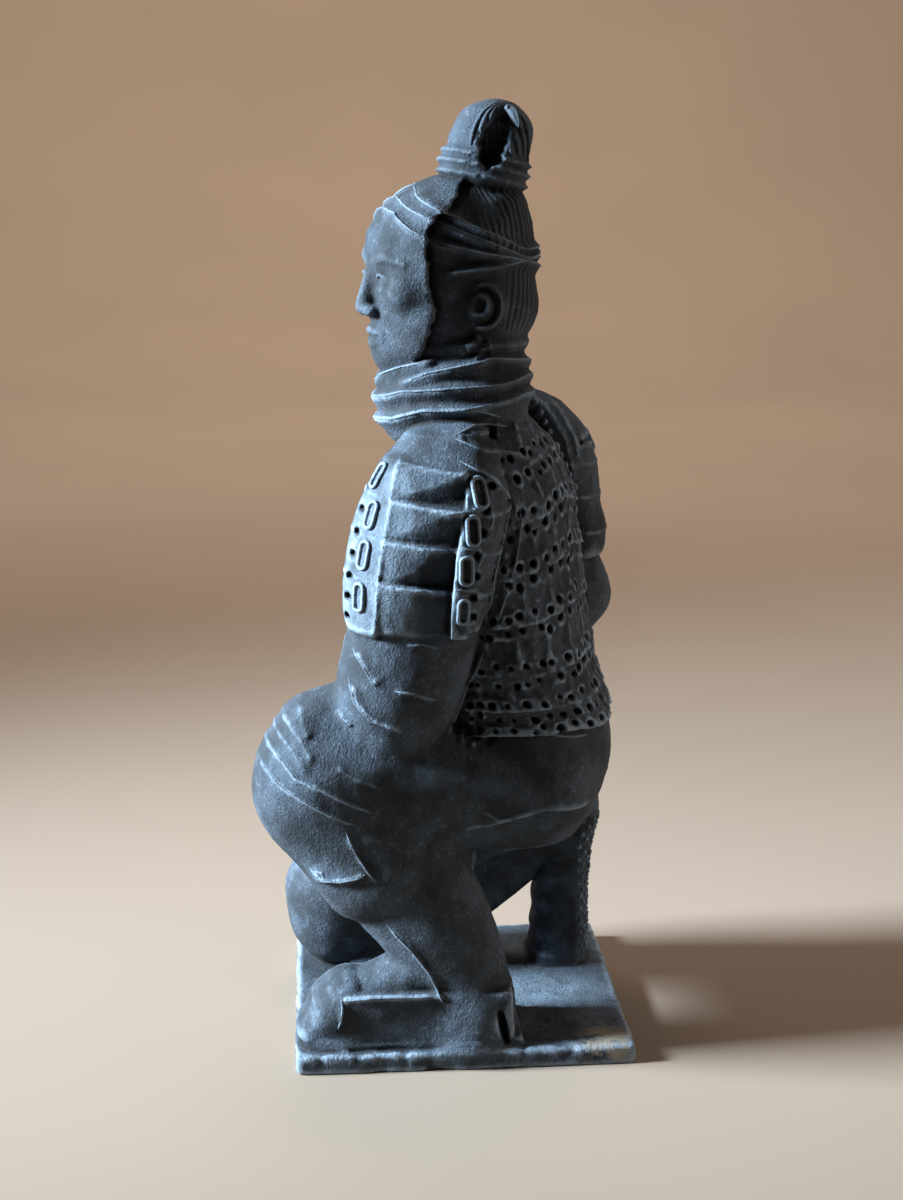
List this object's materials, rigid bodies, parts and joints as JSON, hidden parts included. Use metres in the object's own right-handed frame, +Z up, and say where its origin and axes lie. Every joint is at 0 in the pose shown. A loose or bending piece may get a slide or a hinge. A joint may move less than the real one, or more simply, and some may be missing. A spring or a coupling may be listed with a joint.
{
  "type": "kneeling terracotta warrior statuette",
  "caption": "Small clay statuette of a kneeling armoured archer with a topknot and neck scarf, cast in one piece with a flat rectangular plinth.",
  "frame": {"origin": "centre of the plinth's underside", "axes": "+Z up, the figure faces -Y and its left side is towards +X"},
  "size_m": [0.0566, 0.0612, 0.15],
  "materials": {
    "dark_clay": "matt unglazed dark grey clay, dusty and worn pale on the edges"
  },
  "bodies": {
    "root": {"warrior_statuette": "dark_clay"}
  },
  "joints": []
}
